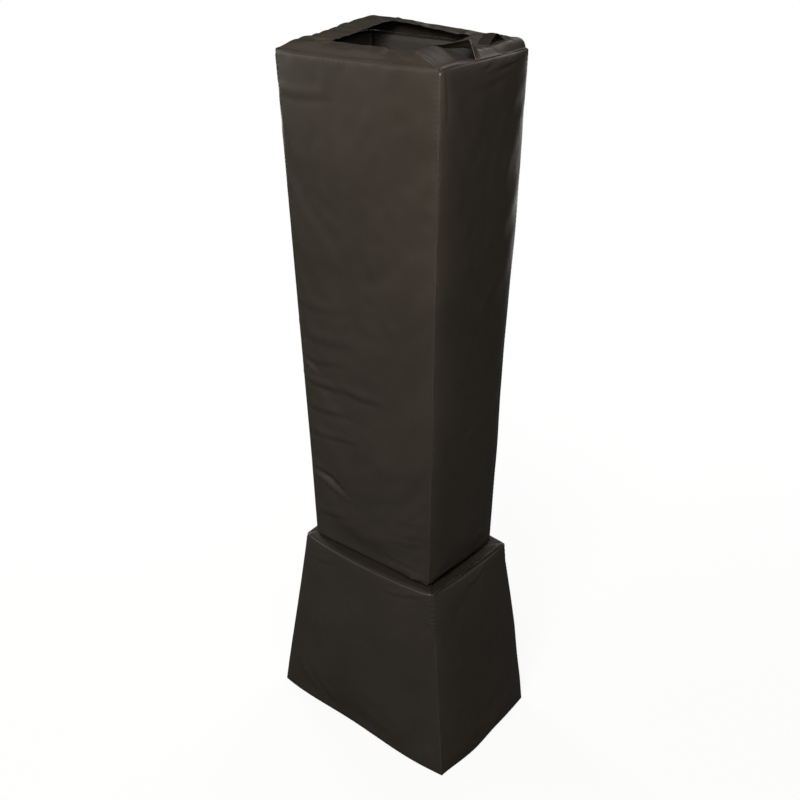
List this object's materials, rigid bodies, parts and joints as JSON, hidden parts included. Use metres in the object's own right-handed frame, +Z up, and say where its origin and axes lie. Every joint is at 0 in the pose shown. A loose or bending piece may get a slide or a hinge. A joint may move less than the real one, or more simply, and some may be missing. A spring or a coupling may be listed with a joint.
{
  "type": "basketball pole pad",
  "caption": "Tall wrap-around foam pad for a square post, standing on a flared skirt pad, with sewn corners that fold open and flaps drawn in to the post",
  "frame": {"origin": "on the floor, in the middle of the skirt's footprint", "axes": "+Z up along the post, the plain front face looks along -Y, the face with the slit flaps along +X"},
  "size_m": [0.6174, 0.414, 1.8726],
  "materials": {
    "vinyl": "black coated vinyl, warm charcoal satin, sewn and turned in",
    "welting": "black vinyl piping over a cord, slightly glossier than the cover",
    "backing": "black woven backing sheet, matte",
    "foam": "charcoal open-cell foam, matte",
    "hook_tape": "black hook tape, matte",
    "loop_tape": "black loop tape, matte and napped"
  },
  "bodies": {
    "skirt_front": {"skirt_front_cover": "vinyl", "skirt_front_foam": "foam", "skirt_front_lining": "backing", "skirt_front_right_welt": "welting", "skirt_front_left_welt": "welting", "skirt_front_flap": "vinyl"},
    "skirt_right": {"skirt_right_cover": "vinyl", "skirt_right_foam": "foam", "skirt_right_lining": "backing", "skirt_right_front_flap": "vinyl", "skirt_right_rear_flap": "vinyl", "skirt_loop_tape": "loop_tape"},
    "skirt_left": {"skirt_left_cover": "vinyl", "skirt_left_foam": "foam", "skirt_left_lining": "backing", "skirt_left_flap": "vinyl", "skirt_back_left_welt": "welting"},
    "skirt_back": {"skirt_back_cover": "vinyl", "skirt_back_foam": "foam", "skirt_back_lining": "backing", "skirt_back_flap": "vinyl", "skirt_hook_tape": "hook_tape"},
    "skirt_tab": {"skirt_flap_tab": "hook_tape"},
    "pad_front": {"pad_front_cover": "vinyl", "pad_front_foam": "foam", "pad_front_lining": "backing", "pad_front_right_welt": "welting", "pad_front_left_welt": "welting"},
    "pad_right": {"pad_right_cover": "vinyl", "pad_right_foam": "foam", "pad_right_lining": "backing", "pad_loop_tape": "loop_tape"},
    "pad_left": {"pad_left_cover": "vinyl", "pad_left_foam": "foam", "pad_left_lining": "backing", "pad_back_left_welt": "welting"},
    "pad_back": {"pad_back_cover": "vinyl", "pad_back_foam": "foam", "pad_back_lining": "backing", "pad_hook_tape": "hook_tape"},
    "pad_front_flap": {"pad_front_flap": "vinyl"},
    "pad_right_front_flap": {"pad_right_front_flap": "vinyl"},
    "pad_right_rear_flap": {"pad_right_rear_flap": "vinyl"},
    "pad_back_flap": {"pad_back_flap": "vinyl"},
    "pad_left_flap": {"pad_left_flap": "vinyl"},
    "pad_tab": {"pad_flap_tab": "hook_tape"}
  },
  "joints": [
    {"name": "pad_lift", "type": "slide", "parent": "skirt_front", "child": "pad_front", "axis": [0, 0, 1], "range_m": [0, 0.3]},
    {"name": "pad_right_fold", "type": "hinge", "parent": "pad_front", "child": "pad_right", "pos_m": [0.19309, -0.13057, 0.5408], "axis": [-0.0213, 0.0167, -0.9996], "range_deg": [0, 90]},
    {"name": "pad_left_fold", "type": "hinge", "parent": "pad_front", "child": "pad_left", "pos_m": [-0.19309, -0.13057, 0.5408], "axis": [-0.0213, -0.0167, 0.9996], "range_deg": [0, 90]},
    {"name": "pad_back_fold", "type": "hinge", "parent": "pad_left", "child": "pad_back", "pos_m": [-0.19309, 0.13057, 0.5408], "axis": [-0.0213, 0.0167, 0.9996], "range_deg": [0, 90]},
    {"name": "pad_front_flap_fold", "type": "hinge", "parent": "pad_front", "child": "pad_front_flap", "pos_m": [0, -0.155, 1.8283], "axis": [1, 0, 0], "range_deg": [0, 120]},
    {"name": "pad_right_front_flap_fold", "type": "hinge", "parent": "pad_right", "child": "pad_right_front_flap", "pos_m": [0.2235, -0.1, 1.8283], "axis": [0, 1, 0], "range_deg": [0, 120]},
    {"name": "pad_right_rear_flap_fold", "type": "hinge", "parent": "pad_right", "child": "pad_right_rear_flap", "pos_m": [0.2235, 0.06, 1.8283], "axis": [0, 1, 0], "range_deg": [0, 120]},
    {"name": "pad_back_flap_fold", "type": "hinge", "parent": "pad_back", "child": "pad_back_flap", "pos_m": [0, 0.155, 1.8283], "axis": [-1, 0, 0], "range_deg": [0, 120]},
    {"name": "pad_left_flap_fold", "type": "hinge", "parent": "pad_left", "child": "pad_left_flap", "pos_m": [-0.2235, 0, 1.8283], "axis": [0, -1, 0], "range_deg": [0, 120]},
    {"name": "pad_tab_peel", "type": "hinge", "parent": "pad_right_rear_flap", "child": "pad_tab", "pos_m": [0.1805, 0.106, 1.85273], "axis": [-0.9999, 0, 0.0149], "range_deg": [0, 80]},
    {"name": "skirt_right_fold", "type": "hinge", "parent": "skirt_front", "child": "skirt_right", "pos_m": [0.2895, -0.185, 0], "axis": [0.1321, -0.0785, -0.9881], "range_deg": [0, 90]},
    {"name": "skirt_left_fold", "type": "hinge", "parent": "skirt_front", "child": "skirt_left", "pos_m": [-0.2895, -0.185, 0], "axis": [0.1321, 0.0785, 0.9881], "range_deg": [0, 90]},
    {"name": "skirt_back_fold", "type": "hinge", "parent": "skirt_left", "child": "skirt_back", "pos_m": [-0.2895, 0.185, 0], "axis": [0.1321, -0.0785, 0.9881], "range_deg": [0, 90]},
    {"name": "skirt_tab_peel", "type": "hinge", "parent": "skirt_right", "child": "skirt_tab", "pos_m": [0.21646, 0.0115, 0.53519], "axis": [-0.9903, 0, -0.1386], "range_deg": [0, 80]}
  ]
}
